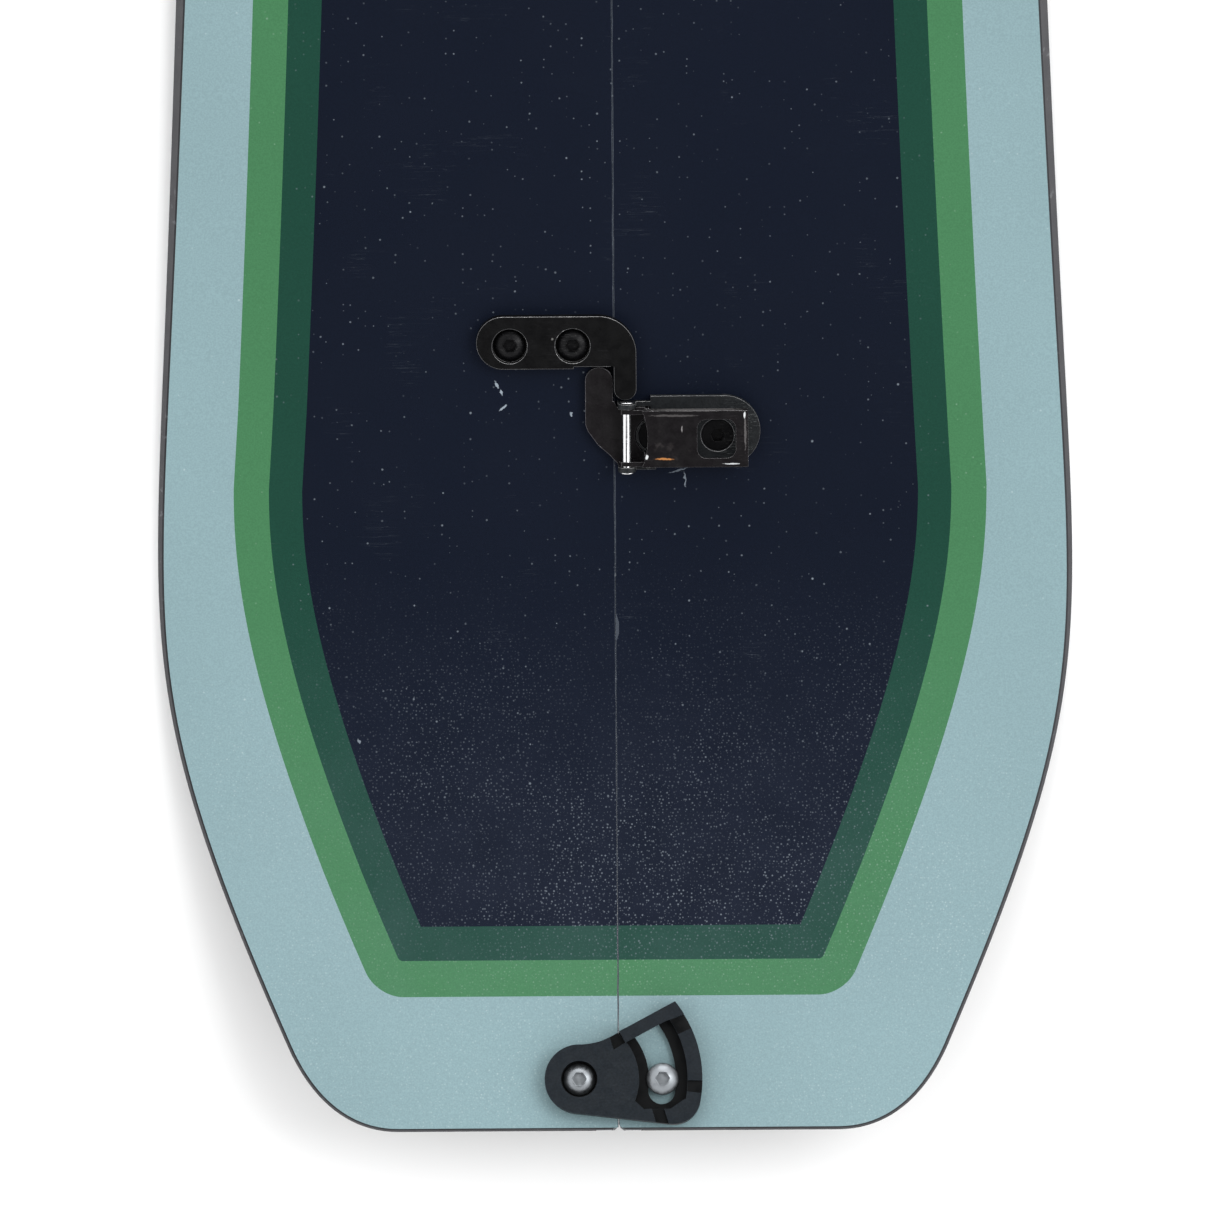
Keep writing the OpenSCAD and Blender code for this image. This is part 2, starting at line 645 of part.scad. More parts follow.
// ---------- the parts ----------
for (side = [-1, 1]) {
  name = side < 0 ? "_left" : "_right";
  base(side);
  outer_edge(side);
  inner_edge(side);
  lower_laminate(side);
  core(side);
  tail_spacer(side);
  nose_spacer(side);
  outer_sidewall(side);
  inner_sidewall(side);
  upper_laminate(side);
  topsheet(side);
  binding_inserts(side);
  touring_inserts(side);
  hardware_inserts(side);
}

on_tail_clip(-clip_pivot_x) tip_clip();  // tail_clip
on_tail_clip(-clip_pivot_x) bushing();  // tail_clip_bushing
on_tail_clip(-clip_pivot_x)  // tail_clip_pivot_screw
  button_screw(bushing_height, screw_depth(tail_clip_y), head_r, head_height);
on_tail_clip(clip_stud_x) bushing();  // tail_stud_bushing
on_tail_clip(clip_stud_x)  // tail_stud_screw
  button_screw(bushing_height, screw_depth(tail_clip_y), head_r, head_height);
on_nose_clip(-clip_pivot_x) tip_clip();  // nose_clip
on_nose_clip(-clip_pivot_x) bushing();  // nose_clip_bushing
on_nose_clip(-clip_pivot_x)  // nose_clip_pivot_screw
  button_screw(bushing_height, screw_depth(nose_clip_y), head_r, head_height);
on_nose_clip(clip_stud_x) bushing();  // nose_stud_bushing
on_nose_clip(clip_stud_x)  // nose_stud_screw
  button_screw(bushing_height, screw_depth(nose_clip_y), head_r, head_height);

on_top(rear_latch) fixed_hook();  // rear_fixed_hook
on_top(rear_latch) fixed_hook_screws(rear_latch);  // rear_fixed_hook_screws
on_top(rear_latch) latch_base();  // rear_latch_base
on_top(rear_latch) latch_screws(rear_latch);  // rear_latch_screws
on_top(rear_latch) latch_pin();  // rear_latch_pin
on_top(rear_latch) latch_lever();  // rear_latch_lever
on_top(rear_latch) draw_hook();  // rear_draw_hook
on_top(front_latch, 180) fixed_hook();  // front_fixed_hook
on_top(front_latch, 180) fixed_hook_screws(front_latch);  // front_fixed_hook_screws
on_top(front_latch, 180) latch_base();  // front_latch_base
on_top(front_latch, 180) latch_screws(front_latch);  // front_latch_screws
on_top(front_latch, 180) latch_pin();  // front_latch_pin
on_top(front_latch, 180) latch_lever();  // front_latch_lever
on_top(front_latch, 180) draw_hook();  // front_draw_hook
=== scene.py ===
"""Looks of the splitboard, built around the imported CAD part."""

import math
import random

import bpy
from mathutils import Matrix, Vector
from mathutils.geometry import delaunay_2d_cdt


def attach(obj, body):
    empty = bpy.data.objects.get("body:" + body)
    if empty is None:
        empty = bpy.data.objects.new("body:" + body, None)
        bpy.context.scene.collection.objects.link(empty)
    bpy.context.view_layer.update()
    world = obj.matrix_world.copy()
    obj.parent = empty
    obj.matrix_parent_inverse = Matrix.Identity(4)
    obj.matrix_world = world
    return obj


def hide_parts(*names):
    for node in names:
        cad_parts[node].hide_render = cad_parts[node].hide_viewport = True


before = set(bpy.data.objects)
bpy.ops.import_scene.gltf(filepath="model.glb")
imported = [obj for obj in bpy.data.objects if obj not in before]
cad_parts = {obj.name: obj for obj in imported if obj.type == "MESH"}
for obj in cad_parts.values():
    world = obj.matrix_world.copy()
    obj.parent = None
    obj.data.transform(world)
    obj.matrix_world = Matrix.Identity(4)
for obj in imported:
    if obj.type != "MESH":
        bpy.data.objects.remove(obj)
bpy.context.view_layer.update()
scene = bpy.context.scene
scene.view_settings.view_transform = "Standard"
MM = 0.001

# ---------------------------------------------------------------- the board's shape, in mm
END_Y = 790.0
SEAM = 0.2
TOP_SEAM = 0.07  # the printed sheets nearly meet over the seam
TAIL_CONTACT, NOSE_CONTACT, CAMBER = -600.0, 560.0, 5.0
TAIL_BEND, NOSE_BEND, TAIL_KICK, NOSE_KICK = 420.0, 380.0, 110.0, 150.0
HALF = (NOSE_CONTACT - TAIL_CONTACT) / 2
MIDDLE = (NOSE_CONTACT + TAIL_CONTACT) / 2
CONTACT_SLOPE = 2 * CAMBER / HALF
CONTACT_Z = CONTACT_SLOPE ** 2 * TAIL_BEND / 2
EDGE_H, EDGE_W, BASE_T = 1.9, 2.0, 1.3
TIP_CORE, MID_CORE, TAPER = 1.4, 6.2, 620.0
LAMINATE, TOPSHEET = 0.6, 0.5
LEAN, SIDEWALL_W, CORE_INNER = 0.55, 9.0, 7.2
WAIST_X, WAIST_Y, SIDECUT = 131, -50, 20000  # half width at the waist, its place, and how the sides flare
SHOULDER_Y, NOSE_START_Y = -545, 506  # the sidecut runs between these


def kick(s, bend, bent):
    """Rise of a tip at the distance s beyond its contact line: bent for a length, then straight."""
    b = min(s, bent)
    return -CONTACT_SLOPE * b + b * b / (2 * bend) + max(0, s - bent) * (bent / bend - CONTACT_SLOPE)


def bottom_z(y):
    """Height of the running base."""
    if y < TAIL_CONTACT:
        return CONTACT_Z + kick(TAIL_CONTACT - y, TAIL_BEND, TAIL_KICK)
    if y > NOSE_CONTACT:
        return CONTACT_Z + kick(y - NOSE_CONTACT, NOSE_BEND, NOSE_KICK)
    return CONTACT_Z + CAMBER * (1 - ((y - MIDDLE) / HALF) ** 2)


def core_t(y):
    """Thickness of the core, thinner towards the tips."""
    u = min(1.0, max(0.0, (END_Y - abs(y)) / TAPER))
    return TIP_CORE + (MID_CORE - TIP_CORE) * u * u * (3 - 2 * u)


def core_top(y):
    return EDGE_H + core_t(y)


def top_z(y):
    return bottom_z(y) + core_top(y) + LAMINATE + TOPSHEET


def bezier(p, t):
    a, b, c, d = (1 - t) ** 3, 3 * (1 - t) ** 2 * t, 3 * (1 - t) * t * t, t ** 3
    return (a * p[0][0] + b * p[1][0] + c * p[2][0] + d * p[3][0],
            a * p[0][1] + b * p[1][1] + c * p[2][1] + d * p[3][1])


def curve(p, n, first=0):
    return [bezier(p, i / n) for i in range(first, n + 1)]


def sidecut_x(y):
    return WAIST_X + (y - WAIST_Y) ** 2 / SIDECUT


def outline():
    """Outer edge of the right ski from the tail end's corner to the nose end, as (x, y)."""
    corner = [(70, -790), (88, -790), (99, -777.3), (105.2, -763.5)]
    shoulder = [(105.2, -763.5), (148.3, -667.5), (148, -644), (sidecut_x(-557), -557)]
    nose = [(151.6, 575), (151.6, 680), (85, 790), (0, 790)]
    points = curve(corner, 22) + curve(shoulder, 34, 1)
    points += [(sidecut_x(y), y) for y in range(SHOULDER_Y, NOSE_START_Y, 15)]
    return points + curve(nose, 70)[:-1]


OUTER = outline()


def inward(points):
    """Unit vectors that point into the ski from each point of a curve that runs from tail to nose."""
    out = []
    for i, p in enumerate(points):
        a = points[max(0, i - 1)]
        b = points[min(len(points) - 1, i + 1)]
        dx, dy = b[0] - a[0], b[1] - a[1]
        n = math.hypot(dx, dy)
        out.append((-dy / n, dx / n))
    out[0] = (0.0, 1.0)
    out[-1] = (0.0, -1.0)
    return out


NORMALS = inward(OUTER)


def inset(width):
    """The outer curve moved into the ski; width is a number or a function of y."""
    w = width if callable(width) else (lambda y: width)
    return [(p[0] + w(p[1]) * n[0], p[1] + w(p[1]) * n[1]) for p, n in zip(OUTER, NORMALS)]


def closed(points, inner, w, r):
    """The curve joined to the seam line x = inner, with corners of radius r; w is its inset at the tail."""
    def arc(y, start, stop):
        turns = [math.radians(a) for a in range(start, stop, 15)]
        return [(inner + r + r * math.cos(a), y + r * math.sin(a)) for a in turns]

    side = [p for p in points if p[0] > inner + r + 0.5]
    return arc(-END_Y + w + r, 180, 271) + side + arc(points[-1][1] - r, 90, 181)


def inside(p, loop):
    """Whether a point is within a closed curve."""
    x, y = p
    hit = False
    j = len(loop) - 1
    for i in range(len(loop)):
        (xi, yi), (xj, yj) = loop[i], loop[j]
        if (yi > y) != (yj > y) and x < (xj - xi) * (y - yi) / (yj - yi) + xi:
            hit = not hit
        j = i
    return hit


STATIONS = ([-790, -770, -740] + list(range(-712, -588, 6)) + list(range(-580, 551, 20))
            + list(range(556, 716, 6)) + [740, 765, 790])  # where a plate has rows of vertices, in y
HOLE_SIDES = 32


# ---------------------------------------------------------------- mesh makers
def new_object(name, verts, faces, materials, indices=None, smooth=True):
    mesh = bpy.data.meshes.new(name)
    mesh.from_pydata([tuple(c * MM for c in v) for v in verts], [], faces)
    for m in materials:
        mesh.materials.append(m)
    if indices:
        for f, i in zip(mesh.polygons, indices):
            f.material_index = i
    for f in mesh.polygons:
        f.use_smooth = smooth
    mesh.validate()
    obj = bpy.data.objects.new(name, mesh)
    scene.collection.objects.link(obj)
    return obj


def sharpen(obj, angle=35):
    """Smooth shading that stops at edges sharper than the angle."""
    bpy.context.view_layer.objects.active = obj
    for o in bpy.context.selected_objects:
        o.select_set(False)
    obj.select_set(True)
    bpy.ops.object.shade_smooth_by_angle(angle=math.radians(angle))
    obj.select_set(False)


def plate(name, side, loop, low, high, materials, region=None, holes=(), lines=()):
    """A closed plate over the plan outline, between the heights low(y) and high(y).

    region(x, y) gives a top face's material index, holes are (x, y, r), and the faces follow the lines.
    """
    coords, edges = [], []

    def add(points, shut):
        base = len(coords)
        coords.extend(Vector(p) for p in points)
        n = len(points)
        edges.extend((base + i, base + i + 1) for i in range(n - 1))
        if shut:
            edges.append((base + n - 1, base))

    add(loop, True)
    turns = [2 * math.pi * k / HOLE_SIDES for k in range(HOLE_SIDES)]
    for x, y, r in holes:
        add([(x + r * math.cos(a), y + r * math.sin(a)) for a in turns], True)
    for line in lines:
        add(line, False)
    for y in STATIONS[1:-1]:
        add([(-4, y), (170, y)], False)
    out = delaunay_2d_cdt(coords, edges, [], 0, 1e-5)
    points = [(v.x, v.y) for v in out[0]]
    tris = []
    for f in out[2]:
        cx = sum(points[i][0] for i in f) / len(f)
        cy = sum(points[i][1] for i in f) / len(f)
        if not inside((cx, cy), loop):
            continue
        if any((cx - x) ** 2 + (cy - y) ** 2 < r * r for x, y, r in holes):
            continue
        a, b, c = (points[i] for i in f)
        if (b[0] - a[0]) * (c[1] - a[1]) - (b[1] - a[1]) * (c[0] - a[0]) < 0:
            f = list(reversed(f))
        tris.append((list(f), (cx, cy)))
    used = sorted({i for f, _ in tris for i in f})
    where = {old: new for new, old in enumerate(used)}
    n = len(used)
    verts = [(side * points[i][0], points[i][1], high(points[i][1])) for i in used]
    verts += [(side * points[i][0], points[i][1], low(points[i][1])) for i in used]
    faces, index, border = [], [], {}
    for f, c in tris:
        f = [where[i] for i in f]
        faces.append(f)
        index.append(region(*c) if region else 0)
        faces.append([i + n for i in reversed(f)])
        index.append(0)
        for i in range(3):
            a, b = f[i], f[(i + 1) % 3]
            if (b, a) in border:
                del border[(b, a)]
            else:
                border[(a, b)] = True
    for a, b in border:
        faces.append([b, a, a + n, b + n])
        index.append(0)
    if side < 0:
        faces = [list(reversed(f)) for f in faces]
    return new_object(name, verts, faces, materials, index)


def rail(name, side, section, start_x, materials):
    """A strip along the outer curve, from start_x at the tail round to start_x at the nose.

    section(y) gives its corners as (inset, height over the base).
    """
    points = [(start_x, -END_Y)] + [(x, -END_Y) for x in range(15, 70, 15)] + OUTER
    normals = [(0.0, 1.0)] * (len(points) - len(OUTER)) + NORMALS
    last = OUTER[-1]
    points.append((start_x, last[1] + (END_Y - last[1]) * (1 - (start_x / last[0]) ** 2)))
    normals.append((0.0, -1.0))
    verts, k = [], len(section(0))
    for p, nrm in zip(points, normals):
        for w, h in section(p[1]):
            x, y = p[0] + w * nrm[0], p[1] + w * nrm[1]
            verts.append((side * max(x, start_x), y, bottom_z(y) + h))
    faces = [list(range(k))[::-1]]
    n = len(points)
    for i in range(n - 1):
        for j in range(k):
            a, b = i * k + j, i * k + (j + 1) % k
            faces.append([a, b, b + k, a + k])
    faces.append([(n - 1) * k + j for j in range(k)])
    if side > 0:
        faces = [list(reversed(f)) for f in faces]
    obj = new_object(name, verts, faces, materials)
    sharpen(obj, 25)
    return obj


# ---------------------------------------------------------------- materials
def srgb(r, g, b):
    """Linear colour of an 8-bit screen colour."""
    def one(c):
        c /= 255
        return c / 12.92 if c <= 0.04045 else ((c + 0.055) / 1.055) ** 2.4
    return (one(r), one(g), one(b))


class Nodes:
    """Short names for building a material's node tree."""

    def __init__(self, name):
        self.mat = bpy.data.materials.new(name)
        self.mat.use_nodes = True
        self.tree = self.mat.node_tree
        self.bsdf = next(n for n in self.tree.nodes if n.type == "BSDF_PRINCIPLED")
        source = self.tree.nodes.new("ShaderNodeTexCoord").outputs
        self.coords, self.face_normal = source["Object"], source["Normal"]

    def put(self, socket, value):
        if isinstance(value, bpy.types.NodeSocket):
            self.tree.links.new(value, socket)
        elif socket.type == "RGBA" and len(value) == 3:
            socket.default_value = (*value, 1.0)
        else:
            socket.default_value = value

    def noise(self, scale, detail=2.0, stretch=(1, 1, 1), turn=0.0, rough=0.5, distort=0.0):
        n = self.tree.nodes.new("ShaderNodeTexNoise")
        n.inputs["Scale"].default_value = scale
        n.inputs["Detail"].default_value = detail
        n.inputs["Roughness"].default_value = rough
        n.inputs["Distortion"].default_value = distort
        self.put(n.inputs["Vector"], self.mapped(stretch, turn))
        return n.outputs["Fac"]

    def mapped(self, stretch, turn):
        if stretch == (1, 1, 1) and turn == 0.0:
            return self.coords
        m = self.tree.nodes.new("ShaderNodeMapping")
        m.inputs["Scale"].default_value = stretch
        m.inputs["Rotation"].default_value = (0, 0, turn)
        self.put(m.inputs["Vector"], self.coords)
        return m.outputs["Vector"]

    def ramp(self, value, low, high, a=0.0, b=1.0):
        """A smooth step from a to b while the value goes from low to high."""
        n = self.tree.nodes.new("ShaderNodeMapRange")
        n.interpolation_type = "SMOOTHSTEP"
        self.put(n.inputs["Value"], value)
        for key, v in (("From Min", low), ("From Max", high), ("To Min", a), ("To Max", b)):
            n.inputs[key].default_value = v
        return n.outputs["Result"]

    def math(self, kind, a, b):
        n = self.tree.nodes.new("ShaderNodeMath")
        n.operation = kind
        self.put(n.inputs[0], a)
        self.put(n.inputs[1], b)
        return n.outputs[0]

    def mix(self, fac, a, b, blend="MIX"):
        n = self.tree.nodes.new("ShaderNodeMix")
        n.data_type = "RGBA"
        n.blend_type = blend
        self.put(n.inputs["Factor"], fac)
        self.put(n.inputs["A"], a)
        self.put(n.inputs["B"], b)
        return n.outputs["Result"]

    def specks(self, scale, chance, size):
        """Scattered grains of uneven size and brightness.

        chance is the share of cells that have one, and size is in cells.
        """
        n = self.tree.nodes.new("ShaderNodeTexVoronoi")
        n.voronoi_dimensions = "2D"
        n.inputs["Scale"].default_value = scale
        self.put(n.inputs["Vector"], self.coords)
        s = self.tree.nodes.new("ShaderNodeSeparateColor")
        self.put(s.inputs[0], n.outputs["Color"])
        far = self.math("ADD", n.outputs["Distance"], self.math("MULTIPLY", s.outputs[1], 0.7 * size))
        far = self.math("ADD", far, self.math("MULTIPLY", self.noise(scale * 4, 2.0), 0.4 * size))
        near = self.ramp(far, size * 0.4, size * 1.2, 1.0, 0.0)
        bright = self.ramp(s.outputs[2], 0.0, 1.0, 0.25, 1.0)
        some = self.math("GREATER_THAN", s.outputs[0], 1 - chance)
        return self.math("MULTIPLY", self.math("MULTIPLY", near, bright), some)

    def axis(self, name):
        s = self.tree.nodes.new("ShaderNodeSeparateXYZ")
        self.put(s.inputs[0], self.coords)
        return s.outputs[name]

    def bump(self, height, strength, distance):
        n = self.tree.nodes.new("ShaderNodeBump")
        n.inputs["Strength"].default_value = strength
        n.inputs["Distance"].default_value = distance
        self.put(n.inputs["Height"], height)
        return n.outputs["Normal"]

    def weighted(self, a, a_share, b, b_share):
        return self.math("ADD", self.math("MULTIPLY", a, a_share), self.math("MULTIPLY", b, b_share))

    def gray(self, value):
        n = self.tree.nodes.new("ShaderNodeCombineColor")
        for i in range(3):
            self.put(n.inputs[i], value)
        return n.outputs[0]

    def spot(self, x, y, rx, ry, turn=0.0, ragged=0.5):
        """A wavering mark at a place on the board, given in mm: 1 inside."""
        sway = self.math("MULTIPLY", self.math("SUBTRACT", self.noise(520, 2.0), 0.5), 4 * ragged * MM)
        dx = self.math("ADD", self.math("SUBTRACT", self.axis("X"), x * MM), sway)
        dy = self.math("ADD", self.math("SUBTRACT", self.axis("Y"), y * MM), sway)
        c, sn = math.cos(turn), math.sin(turn)
        u = self.weighted(dx, c / (rx * MM), dy, sn / (rx * MM))
        v = self.weighted(dx, -sn / (ry * MM), dy, c / (ry * MM))
        far = self.math("ADD", self.math("MULTIPLY", u, u), self.math("MULTIPLY", v, v))
        broken = self.math("MULTIPLY", self.noise(1500, 3.0), 1.1)
        return self.ramp(self.math("ADD", far, broken), 0.75, 1.25, 1.0, 0.0)

    def height_over(self, y):
        """Height in mm square to the topsheet, over its plane at the given y in mm."""
        slope = math.atan((top_z(y + 2) - top_z(y - 2)) / 4)
        height = self.weighted(self.axis("Z"), math.cos(slope) / MM, self.axis("Y"), -math.sin(slope) / MM)
        return self.math("ADD", height, -top_z(y) * math.cos(slope) + y * math.sin(slope))

    def finish(self, color, rough, metallic=0.0, normal=None, shine=0.5):
        b = self.bsdf.inputs
        b["Specular IOR Level"].default_value = shine
        self.put(b["Base Color"], color)
        self.put(b["Roughness"], rough)
        b["Metallic"].default_value = metallic
        if normal is not None:
            self.put(b["Normal"], normal)
        return self.mat


def topsheet_material(name, color, dust_color, dust, haze, haze_color=(0.2, 0.24, 0.3), chips=()):
    """Printed sheet with fine grain, dust and haze near the tail, chips and hairline scratches."""
    m = Nodes(name)
    grain = m.noise(1900, 2.0)
    cloud = m.noise(9, 3.0)
    shade = m.math("ADD", m.ramp(grain, 0.3, 0.7, 0.93, 1.07), m.ramp(cloud, 0.3, 0.7, -0.03, 0.03))
    base = m.mix(1.0, color, m.gray(shade), "MULTIPLY")
    # Haze of fine dust near the tail
    near_tail = m.ramp(m.axis("Y"), -0.73, -0.60, 1.0, 0.0)
    veil = m.math("MULTIPLY", near_tail, m.ramp(m.noise(60, 4.0), 0.25, 0.75, 0.5 * haze, haze))
    base = m.mix(veil, base, haze_color)
    # Dust specks: sparse everywhere, denser near the tail, and a few larger ones
    patch = m.ramp(m.noise(22, 3.0), 0.36, 0.66, 0.4, 1.0)
    fine = m.math("MULTIPLY", m.specks(420, 0.16, 0.20), m.math("MULTIPLY", patch, 0.7))
    tail_share = m.math("MULTIPLY", near_tail, m.math("MULTIPLY", patch, 0.8))
    tail_fine = m.math("MULTIPLY", m.specks(920, 0.92, 0.38), tail_share)
    large = m.math("MULTIPLY", m.specks(110, 0.10, 0.06), 0.9)
    grit = m.math("MAXIMUM", m.math("MAXIMUM", fine, tail_fine), large)
    base = m.mix(m.math("MULTIPLY", grit, dust), base, dust_color)
    for x, y, rx, ry, turn, strength in chips:
        base = m.mix(m.math("MULTIPLY", m.spot(x, y, rx, ry, turn), strength), base, dust_color)
    # Hairline scratches across and along the board
    lines = None
    for turn, scale in ((0.5, 26), (-0.9, 31), (1.45, 22)):
        streak = m.noise(scale, 3.0, (1, 26, 1), turn, 0.55)
        one = m.math("SUBTRACT", m.ramp(streak, 0.497, 0.503), m.ramp(streak, 0.503, 0.509))
        one = m.math("MULTIPLY", one, m.ramp(m.noise(17 + scale, 2.0), 0.64, 0.76))
        lines = one if lines is None else m.math("MAXIMUM", lines, one)
    base = m.mix(m.math("MULTIPLY", lines, 0.12 * dust), base, dust_color)
    rough = m.ramp(m.noise(40, 4.0), 0.3, 0.7, 0.42, 0.455)
    rough = m.math("ADD", rough, m.math("MULTIPLY", grit, 0.3))
    normal = m.bump(m.math("ADD", m.noise(1300, 3.0), m.math("MULTIPLY", lines, -0.6)), 0.12, 0.00012)
    return m.finish(base, rough, normal=normal, shine=TOP_SHINE)


LIGHT = 0.62  # what printed colours are scaled by, so that they render as bright as they should
TOP_SHINE = 0.08  # lower than a real sheet's, so that the bright surroundings do not wash out the navy


def printed(r, g, b, scale=1.0):
    return tuple(c * LIGHT * scale for c in srgb(r, g, b))


PALE = printed(157, 187, 193)
LEAF = printed(80, 140, 96)
PINE = printed(33, 79, 65, 0.95)
NAVY = (0.0037, 0.0062, 0.0143)
HAZE = (0.17, 0.20, 0.32)
DUST = srgb(140, 150, 160)
# Marks in the navy field: x, y, half width, half length in mm, turn, strength
CHIPS = ((-37.2, -553.6, 0.45, 2.0, 0.5, 1.0), (-35.6, -556.2, 0.45, 1.5, 0.3, 1.0),
         (-35.4, -561.3, 0.5, 2.0, -0.9, 1.0), (-13.6, -563.4, 0.45, 1.1, 0.6, 0.9),
         (22.4, -584.6, 0.35, 3.4, 0.1, 0.6), (20.5, -581.6, 0.35, 4.6, -1.3, 0.45),
         (11.5, -578.5, 0.3, 2.2, 1.2, 0.4), (-82.0, -668.0, 0.4, 1.4, 0.2, 0.6))
pale = topsheet_material("topsheet_pale", PALE, srgb(205, 216, 218), 0.35, 0.03)
leaf = topsheet_material("topsheet_light_green", LEAF, srgb(150, 175, 160), 0.45, 0.06)
pine = topsheet_material("topsheet_dark_green", PINE, DUST, 0.45, 0.07)
navy = topsheet_material("topsheet_navy", NAVY, DUST, 0.75, 0.035, HAZE, CHIPS)


def worn_material(name, color, wear, rough):
    """Plastic or paint with light grain and small lighter scuffs."""
    m = Nodes(name)
    grain = m.noise(2600, 2.0)
    base = m.mix(1.0, color, m.gray(m.ramp(grain, 0.3, 0.7, 0.88, 1.12)), "MULTIPLY")
    scuff = m.math("MULTIPLY", m.ramp(m.noise(420, 4.0), 0.60, 0.72), m.ramp(m.noise(70, 2.0), 0.45, 0.65))
    base = m.mix(m.math("MULTIPLY", scuff, 0.55), base, wear)
    rough_map = m.ramp(m.noise(160, 3.0), 0.3, 0.7, rough - 0.06, rough + 0.06)
    return m.finish(base, rough_map, normal=m.bump(m.noise(1600, 3.0), 0.15, 0.0001), shine=0.25)


edge_wear = worn_material("seam_wear", srgb(56, 62, 72), srgb(150, 157, 164), 0.6)
sidewall = worn_material("sidewall_plastic", srgb(58, 58, 61), srgb(120, 122, 125), 0.5)


def steel_material(name, color, rough, stretch=(1, 1, 1), scale=900):
    """Bare metal with fine lines and a few duller spots."""
    m = Nodes(name)
    lines = m.noise(scale, 4.0, stretch)
    base = m.mix(1.0, color, m.gray(m.ramp(lines, 0.25, 0.75, 0.93, 1.05)), "MULTIPLY")
    spots = m.ramp(m.noise(260, 4.0), 0.62, 0.74)
    base = m.mix(m.math("MULTIPLY", spots, 0.18), base, tuple(c * 0.7 for c in color))
    rough_map = m.ramp(lines, 0.25, 0.75, rough - 0.08, rough + 0.08)
    rough_map = m.math("ADD", rough_map, m.math("MULTIPLY", spots, 0.15))
    return m.finish(base, rough_map, 1.0, m.bump(lines, 0.08, 0.00004))


edge_steel = steel_material("edge_steel", (0.62, 0.63, 0.65), 0.32, (40, 1, 40), 60)
screw_steel = steel_material("screw_steel", (0.29, 0.31, 0.33), 0.42)
insert_steel = steel_material("insert_steel", (0.60, 0.60, 0.61), 0.38)
pin_steel = steel_material("pin_steel", (0.80, 0.80, 0.82), 0.18, (1, 8, 1), 300)


def base_material():
    m = Nodes("base_sintered")
    grooves = m.noise(900, 1.0, (1, 0.004, 1))
    cloud = m.noise(12, 4.0)
    color = m.mix(m.ramp(cloud, 0.3, 0.7), (0.012, 0.013, 0.016), (0.022, 0.023, 0.027))
    speck = m.specks(500, 0.12, 0.2)
    color = m.mix(m.math("MULTIPLY", speck, 0.25), color, (0.10, 0.10, 0.11))
    rough = m.ramp(m.noise(30, 3.0), 0.3, 0.7, 0.38, 0.52)
    return m.finish(color, rough, normal=m.bump(grooves, 0.35, 0.00008))


def wood_material():
    m = Nodes("core_wood")
    rings = m.noise(120, 4.0, (1, 0.03, 1), distort=0.4)
    color = m.mix(m.ramp(rings, 0.3, 0.7), (0.56, 0.40, 0.23), (0.76, 0.60, 0.39))
    return m.finish(color, m.ramp(rings, 0.3, 0.7, 0.55, 0.7), normal=m.bump(rings, 0.2, 0.0002))


def glass_laminate():
    m = Nodes("glass_laminate")
    weave = m.noise(700, 2.0, (1, 0.08, 1))
    color = m.mix(m.ramp(weave, 0.35, 0.65), srgb(118, 126, 122), srgb(150, 157, 152))
    return m.finish(color, m.ramp(weave, 0.3, 0.7, 0.35, 0.5), normal=m.bump(weave, 0.2, 0.0001))


base_plastic = base_material()
wood = wood_material()
laminate = glass_laminate()
spacer = worn_material("tip_spacer", srgb(205, 205, 200), srgb(230, 230, 226), 0.5)


def hook_material(name, color, wear_and_highlight_color, amount, rough, metallic=0.0, shine=0.15, marks=(),
                  painted_shade_from=None, nose_painted_highlight=0.0):
    """Dark coated metal or plastic: grain, rubbed patches in the wear colour, fine scratches, and painted
    light.

    marks are (x, y, half width, half length, colour, strength). painted_shade_from is the y of a clip whose
    low faces are darkened as painted shade.
    nose_painted_highlight is how strongly the faces towards the nose take the wear and highlight colour as
    a painted highlight.
    """
    m = Nodes(name)
    grain = m.noise(1500, 3.0)
    base = m.mix(1.0, color, m.gray(m.ramp(grain, 0.3, 0.7, 0.82, 1.2)), "MULTIPLY")
    patch = m.ramp(m.noise(55, 2.0), 0.42, 0.66)
    rub = m.math("MULTIPLY", m.ramp(m.noise(240, 5.0, rough=0.65), 0.58, 0.72), patch)
    base = m.mix(m.math("MULTIPLY", rub, amount), base, wear_and_highlight_color)
    # Marks: spots of wear and painted highlights
    for x, y, rx, ry, tint, strength in marks:
        base = m.mix(m.math("MULTIPLY", m.spot(x, y, rx, ry, 0.0, 0.12), strength), base, tint)
    # Painted highlight: the faces turned towards the nose take the wear and highlight colour
    if nose_painted_highlight:
        facing = m.tree.nodes.new("ShaderNodeSeparateXYZ")
        m.put(facing.inputs[0], m.face_normal)
        broken = m.ramp(m.noise(900, 4.0), 0.35, 0.6, 0.35, 1.0)
        nose_highlight_mask = m.math("MULTIPLY", m.ramp(facing.outputs["Y"], 0.25, 0.7), broken)
        base = m.mix(m.math("MULTIPLY", nose_highlight_mask, nose_painted_highlight), base, wear_and_highlight_color)
    # Painted shade: the clip's sunken faces are darkened by their height under the topsheet's plane
    if painted_shade_from is not None:
        sunk_painted_shade = m.ramp(m.height_over(painted_shade_from), *PAINTED_SHADE_HEIGHTS, PAINTED_SHADE_LEFT, 1.0)
        base = m.mix(1.0, base, m.gray(sunk_painted_shade), "MULTIPLY")
    a = m.noise(90, 3.0, (1, 14, 1), 0.9)
    hair = m.math("SUBTRACT", m.ramp(a, 0.49, 0.50), m.ramp(a, 0.50, 0.51))
    hair = m.math("MULTIPLY", hair, m.ramp(m.noise(45, 2.0), 0.5, 0.65))
    base = m.mix(m.math("MULTIPLY", hair, amount), base, wear_and_highlight_color)
    rough_map = m.ramp(m.noise(300, 4.0), 0.3, 0.7, rough - 0.08, rough + 0.08)
    return m.finish(base, rough_map, metallic, m.bump(grain, 0.2, 0.00008), shine=shine)


PAINTED_GLINT = srgb(225, 228, 230)
COPPER = srgb(176, 118, 66)
